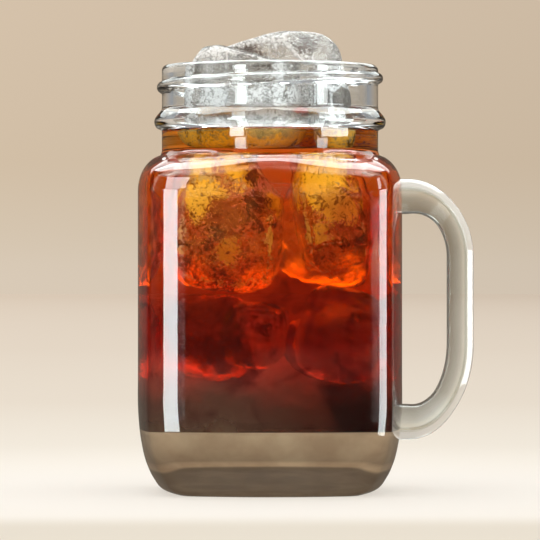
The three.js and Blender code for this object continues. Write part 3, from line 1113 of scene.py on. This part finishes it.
# painted shade: the drink's colour darkens from clear near the top through red to near black at the
# bottom
tint_and_shade = ramp(
    add,
    share,
    [
        (0.0, (0.11, 0.065, 0.04, 1.0)),
        (0.1, (0.16, 0.075, 0.05, 1.0)),
        (0.22, (0.66, 0.13, 0.09, 1.0)),
        (0.36, (0.5, 0.12, 0.12, 1.0)),
        (0.5, (0.76, 0.34, 0.3, 1.0)),
        (0.62, (1.0, 0.92, 0.85, 1.0)),
        (1.0, (1.0, 1.0, 1.0, 1.0)),
    ],
)
mottle = add(
    "ShaderNodeTexNoise",
    {"Vector": place, "Scale": 130.0, "Detail": 9.0, "Roughness": 0.7, "Distortion": 0.8},
).outputs["Fac"]
mottled = ramp(
    add, mottle, [(0.36, (0.42, 0.3, 0.35, 1.0)), (0.46, (0.95, 0.9, 0.9, 1.0)), (0.52, 1.0)]
)
lower_part = ramp(add, share, [(0.0, 1.0), (0.45, 1.0), (0.66, 0.25), (0.8, 0.0)])
tint_and_shade = add(
    "ShaderNodeMixRGB",
    {"Fac": lower_part, "Color1": tint_and_shade, "Color2": mottled},
    blend_type="MULTIPLY",
).outputs["Color"]
# painted shade: darker patches painted into the drink's colour, each a middle, radius and what is left of
# the light's red, green and blue
PAINTED_SHADE_DRIFTS = [
    ((-20.0, -37.0, 48.0), 12.0, (0.22, 0.3, 0.4)),
    ((-12.0, -37.0, 39.0), 8.0, (0.4, 0.45, 0.5)),
    ((25.0, -36.0, 27.0), 11.0, (0.12, 0.2, 0.3)),
    ((25.0, -36.0, 82.0), 10.0, (0.5, 0.25, 0.35)),
    ((-5.0, -37.0, 94.0), 3.5, (0.35, 0.25, 0.3)),
    ((-4.0, -37.0, 84.0), 3.5, (0.4, 0.3, 0.3)),
    ((4.0, -37.0, 60.0), 7.0, (0.5, 0.35, 0.4)),
    ((-38.0, -10.0, 26.0), 9.0, (0.4, 0.6, 0.6)),
]
for middle, radius, left in PAINTED_SHADE_DRIFTS:
    off = add(
        "ShaderNodeVectorMath",
        {0: swirled, 1: tuple(value * MM for value in middle)},
        operation="DISTANCE",
    ).outputs["Value"]
    amount = add(
        "ShaderNodeMapRange",
        {
            "Value": off,
            "From Min": radius * 0.6 * MM,
            "From Max": radius * 1.3 * MM,
            "To Min": 1.0,
            "To Max": 0.0,
        },
        interpolation_type="SMOOTHSTEP",
    ).outputs["Result"]
    tint_and_shade = add(
        "ShaderNodeMixRGB",
        {"Fac": amount, "Color1": tint_and_shade, "Color2": (*left, 1.0)},
        blend_type="MULTIPLY",
    ).outputs["Color"]
# towards the bottom the drink is cloudy with fine grounds, most of it left of the middle
cloudy = ramp(
    add, share, [(0.0, 0.8), (0.03, 0.55), (0.1, 0.4), (0.2, 0.2), (0.28, 0.004), (1.0, 0.002)]
)
sideways = add("ShaderNodeSeparateXYZ", {"Vector": swirled}).outputs["X"]
leftward = add(
    "ShaderNodeMapRange",
    {
        "Value": sideways,
        "From Min": -8.0 * MM,
        "From Max": 12.0 * MM,
        "To Min": 1.0,
        "To Max": 0.4,
    },
).outputs["Result"]
murk = add("ShaderNodeMath", {0: cloudy, 1: leftward}, operation="MULTIPLY").outputs["Value"]
unclouded = add("ShaderNodeMath", {0: 1.0, 1: murk}, operation="SUBTRACT").outputs["Value"]
drink_shader = add(
    "ShaderNodeBsdfPrincipled",
    {
        "Base Color": tint_and_shade,
        "Roughness": 0.0,
        "IOR": DRINK_IOR,
        "Transmission Weight": unclouded,
        "Specular Tint": (0.1, 0.1, 0.1, 1.0),
    },
)
depth = add("ShaderNodeVolumeAbsorption", {"Color": (0.96, 0.788, 0.0, 1.0), "Density": 170.0})
add(
    "ShaderNodeOutputMaterial",
    {"Surface": drink_shader.outputs["BSDF"], "Volume": depth.outputs["Volume"]},
)

shape = bmesh.new()
drink_low = SETTLED_Z - 0.1
body_line = filling(drink_low, DRINK_Z - 0.1)
meniscus = [(28.9, DRINK_Z + 0.45), (28.2, DRINK_Z + 0.15), (27.0, DRINK_Z), (14.0, DRINK_Z)]
top_line = [(inner_neck + INTO_GLASS, DRINK_Z + 1.1), *meniscus, (0.0, DRINK_Z)]
bottom_line = [(0.0, drink_low)] + [(r, drink_low) for r in FLAT_STEPS]
drink_skin = turn(shape, bottom_line + body_line + top_line)
squared(drink_skin, INNER_NECK_Z)
coffee = piece("iced_coffee", shape, [coffee_liquid])
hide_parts("coffee")
for name, block in NECK_ICE.items():
    shape = bmesh.new()
    cube_points(shape, block, cuts=HOLLOW_CUTS, grow=-ICE_BITE)
    hollow = piece("hollow", shape, [coffee_liquid], body=None)
    combined(coffee, hollow, "DIFFERENCE")
# the sunk cubes' hollows are closed skins inside the coffee, turned the other way
shape = bmesh.new()
for block in SUNK_ICE:
    cube_points(shape, block, cuts=SUNK_CUTS, grow=-ICE_BITE)
bmesh.ops.recalc_face_normals(shape, faces=shape.faces)
bmesh.ops.reverse_faces(shape, faces=shape.faces)
shape.from_mesh(coffee.data)
shape.to_mesh(coffee.data)
shape.free()
coffee.data.shade_smooth()
coffee.data.set_sharp_from_angle(angle=math.radians(50.0))

# The settled layer: fine grounds and milky cloud that have sunk to the bottom of the drink, pale
# brown and not clear, with a flat top.
settled, add = node_tree("settled_coffee")
place = add("ShaderNodeTexCoord").outputs["Object"]
cloud = add("ShaderNodeTexNoise", {"Vector": place, "Scale": 90.0, "Detail": 5.0})
settled_tone = ramp(
    add,
    cloud.outputs["Fac"],
    [(0.35, tone(131, 108, 85)), (0.65, tone(151, 129, 104))],
)
# painted shade and a painted highlight: seen through the jar's thick floor its underside is painted
# darker, with a paler line painted where the side starts, and the side above is painted a little brighter
underside = add("ShaderNodeSeparateXYZ", {"Vector": place}).outputs["Z"]
down = add(
    "ShaderNodeMapRange", {"Value": underside, "From Min": 8.0 * MM, "From Max": 14.0 * MM}
).outputs["Result"]
settled_shade_and_highlight = ramp(
    add, down, [(0.0, 0.72), (0.3, 0.72), (0.36, 1.75), (0.46, 1.65), (0.56, 1.14), (1.0, 1.25)]
)
settled_tone = add(
    "ShaderNodeMixRGB",
    {"Fac": 1.0, "Color1": settled_tone, "Color2": settled_shade_and_highlight},
    blend_type="MULTIPLY",
).outputs["Color"]
settled_shader = add(
    "ShaderNodeBsdfPrincipled",
    {"Base Color": settled_tone, "Roughness": 0.6, "IOR": DRINK_IOR, "Specular IOR Level": 0.2},
)
add("ShaderNodeOutputMaterial", {"Surface": settled_shader.outputs["BSDF"]})
shape = bmesh.new()
low_line = [(r, z - INTO_GLASS) for r, z in ((0.0, FLOOR_Z), (12.0, FLOOR_Z))]
side_line = [(r + INTO_GLASS, z - INTO_GLASS) for r, z in inside if z < SETTLED_Z - 0.2]
top = [(reach_at(SETTLED_Z) + INTO_GLASS, SETTLED_Z)]
top += [(r, SETTLED_Z) for r in reversed(FLAT_STEPS)]
layer_skin = turn(shape, low_line + side_line + top + [(0.0, SETTLED_Z)])
squared(layer_skin, INNER_NECK_Z)
layer = piece("settled_grounds", shape, [settled])
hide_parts("settled_layer")
